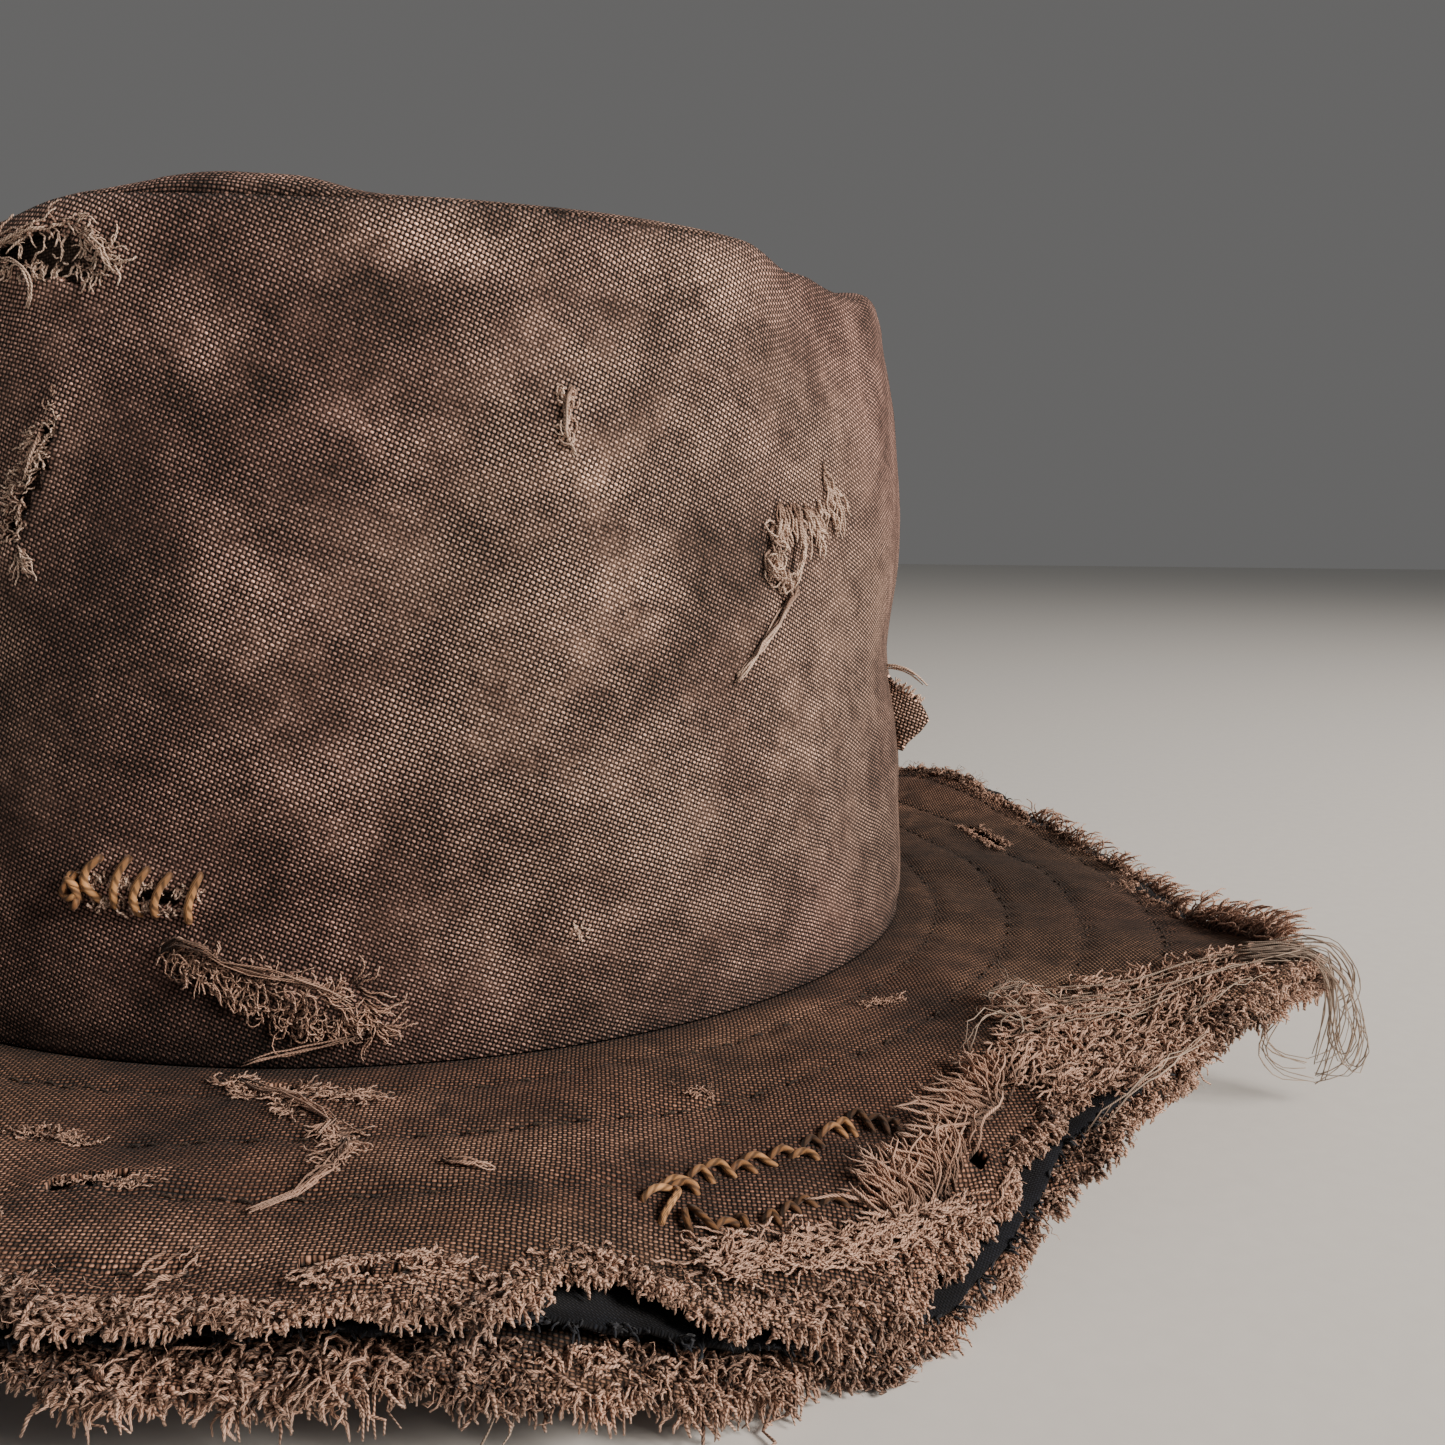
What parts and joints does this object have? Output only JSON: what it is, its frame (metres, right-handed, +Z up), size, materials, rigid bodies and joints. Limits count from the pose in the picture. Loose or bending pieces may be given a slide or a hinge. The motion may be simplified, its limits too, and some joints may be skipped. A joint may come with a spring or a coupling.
{
  "type": "brimmed cloth hat",
  "caption": "Worn sewn cloth hat with a tall round crown, a puffed top panel, a wide wavy ravelled brim, a lining, a sweatband and hand-sewn mends.",
  "frame": {"origin": "centre of the head opening, on the plane where the crown is sewn to the brim", "axes": "+Z up through the crown, -Y towards the front, where the mends are, +X to the wearer's left"},
  "size_m": [0.3126, 0.3126, 0.1351],
  "materials": {
    "crown_cloth": "matte coarse plain weave, overdyed brown with faded and stained patches",
    "brim_cloth": "matte coarse plain weave, darker and more soiled than the crown",
    "interlining_cloth": "matte felted stiffening cloth, near-black navy",
    "lining_cotton": "smooth black cotton",
    "sweatband_twill": "dark cotton twill tape",
    "sewing_thread": "dark brown spun thread",
    "waxed_thread": "waxed orange-brown linen thread with a soft sheen",
    "ravelled_yarn": "loose spun yarn, faded pinkish brown"
  },
  "bodies": {
    "root": {"crown_side": "crown_cloth", "crown_tip": "crown_cloth", "tip_seam_thread": "sewing_thread", "back_seam_thread": "sewing_thread", "lining_side": "lining_cotton", "lining_tip": "lining_cotton", "sweatband": "sweatband_twill", "sweatband_thread": "sewing_thread", "brim_upper": "brim_cloth", "brim_interlining": "interlining_cloth", "brim_lower": "brim_cloth", "brim_row_1": "sewing_thread", "brim_row_2": "sewing_thread", "brim_row_3": "sewing_thread", "brim_row_4": "sewing_thread", "upper_fringe": "ravelled_yarn", "lower_fringe": "ravelled_yarn", "crown_flap": "crown_cloth", "crown_mend_thread": "waxed_thread", "brim_mend_thread": "waxed_thread", "top_tear_yarns": "ravelled_yarn", "side_slit_yarns": "ravelled_yarn", "snag_yarns": "ravelled_yarn", "pulled_yarns": "ravelled_yarn", "lower_tear_yarns": "ravelled_yarn", "brim_tear_yarns": "ravelled_yarn", "brim_edge_tufts": "ravelled_yarn", "tip_loose_threads": "ravelled_yarn"}
  },
  "joints": []
}
